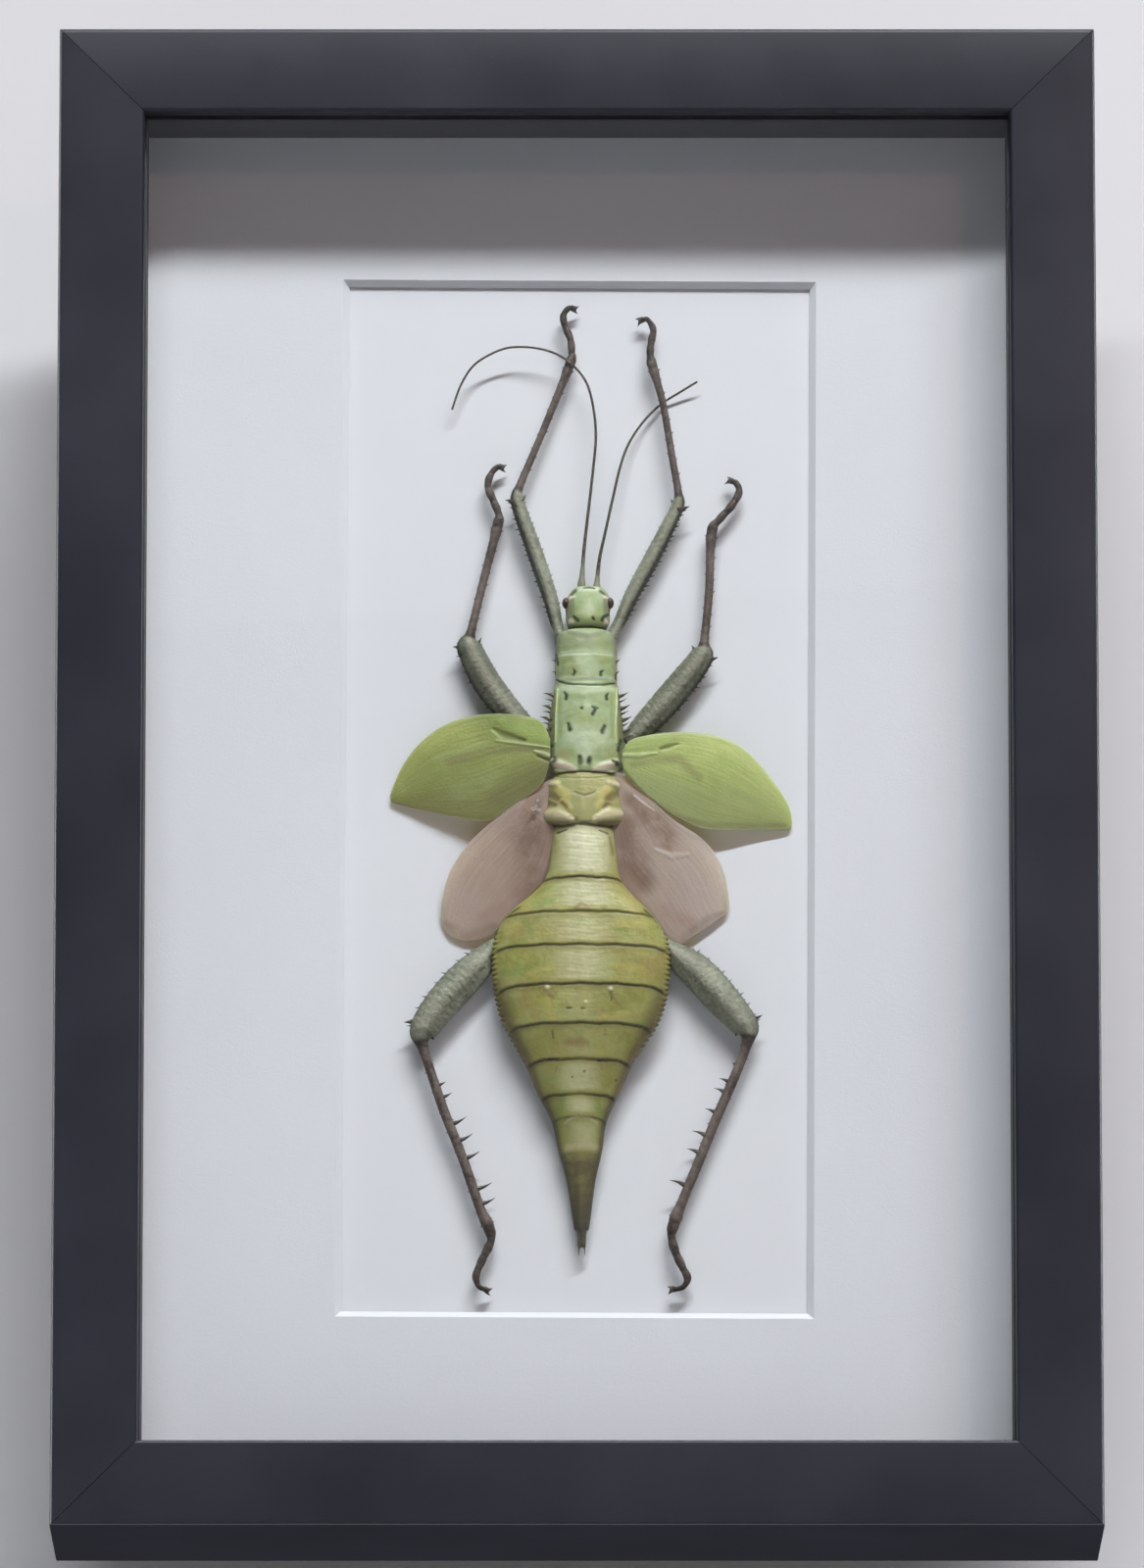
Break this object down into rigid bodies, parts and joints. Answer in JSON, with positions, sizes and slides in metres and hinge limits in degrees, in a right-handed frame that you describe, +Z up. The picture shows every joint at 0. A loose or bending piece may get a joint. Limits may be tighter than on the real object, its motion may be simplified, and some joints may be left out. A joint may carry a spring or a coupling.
{
  "type": "framed jungle nymph",
  "caption": "Spiny green stick insect with short spread wings, mounted on white board behind a window mat in a deep black box frame with glass.",
  "frame": {"origin": "middle of the underside of the bottom rail, the face that the frame stands on", "axes": "+Z up along the frame's height, -Y out of the glass towards the viewer, +X to the viewer's right"},
  "size_m": [0.23, 0.048, 0.337],
  "materials": {
    "black_frame": "satin black stain over smooth wood",
    "black_spacer": "matt black paper wrap",
    "glass": "clear, polished",
    "white_mat": "fine matt tooth, white bevel",
    "white_board": "matt white paper face",
    "brown_panel": "raw pressed fibreboard",
    "steel": "zinc bright",
    "mint_body": "dry satin insect skin, mint green",
    "olive_abdomen": "dry satin insect skin, yellow olive",
    "legs": "dry grey-green to brown skin",
    "antennae": "dark horn",
    "green_wings": "leathery leaf-like wing",
    "pink_wings": "thin dusty membrane"
  },
  "bodies": {
    "root": {"abdomen": "olive_abdomen", "antenna_left": "antennae", "antenna_right": "antennae", "back_panel": "brown_panel", "backing_board": "white_board", "forewing_left": "green_wings", "forewing_right": "green_wings", "glass": "glass", "hanger": "steel", "head": "mint_body", "hindwing_left": "pink_wings", "hindwing_right": "pink_wings", "leg_front_left": "legs", "leg_front_right": "legs", "leg_hind_left": "legs", "leg_hind_right": "legs", "leg_middle_left": "legs", "leg_middle_right": "legs", "rail_bottom": "black_frame", "rail_left": "black_frame", "rail_right": "black_frame", "rail_top": "black_frame", "rivet_left": "steel", "rivet_right": "steel", "spacer_bottom": "black_spacer", "spacer_left": "black_spacer", "spacer_right": "black_spacer", "spacer_top": "black_spacer", "tab_bottom": "steel", "tab_left_lower": "steel", "tab_left_upper": "steel", "tab_right_lower": "steel", "tab_right_upper": "steel", "tab_top": "steel", "thorax": "mint_body", "window_mat": "white_mat"}
  },
  "joints": []
}
